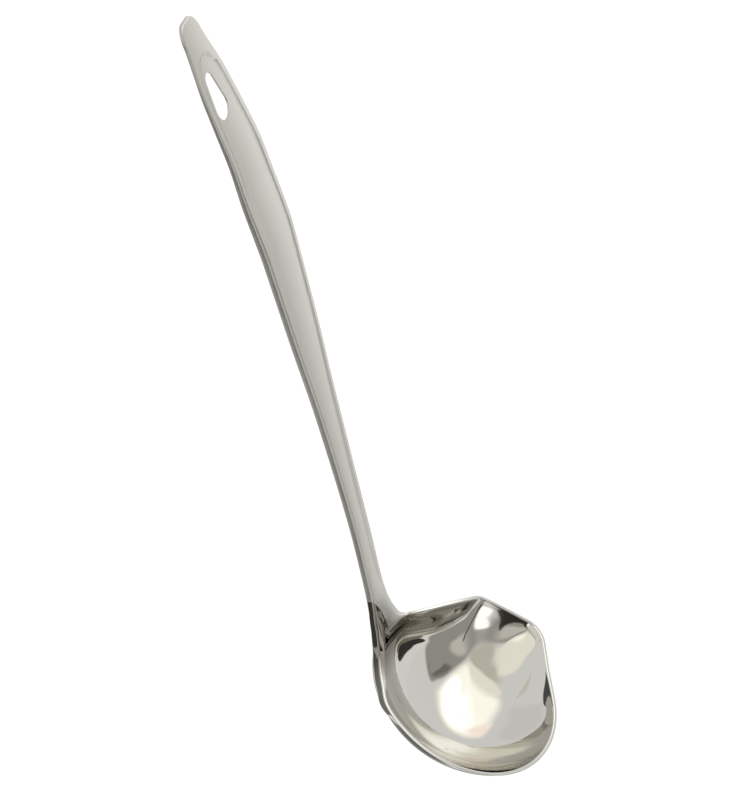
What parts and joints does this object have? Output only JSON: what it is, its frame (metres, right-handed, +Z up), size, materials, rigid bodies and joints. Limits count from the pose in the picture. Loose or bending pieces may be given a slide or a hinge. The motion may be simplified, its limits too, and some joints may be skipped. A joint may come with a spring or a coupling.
{
  "type": "sauce ladle",
  "caption": "Stainless steel sauce ladle: a round bowl with a straight pouring lip at one side, and a long satin handle with turned-back edges and a hanging hole.",
  "frame": {"origin": "the point in the top of the hanging hole where a hook bears, in the middle of the sheet", "axes": "+Z runs up the straight part of the handle towards the tip, -Y is the way the handle's face and the bowl's opening look, and +X points towards the pouring lip"},
  "size_m": [0.08, 0.065, 0.294],
  "materials": {
    "polished_stainless": "mirror-polished stainless steel",
    "satin_stainless": "satin-brushed stainless steel, brushed along the handle",
    "ground_weld": "weld ground flush and buffed"
  },
  "bodies": {
    "root": {"bowl": "polished_stainless", "handle": "satin_stainless", "neck_weld": "ground_weld"}
  },
  "joints": []
}
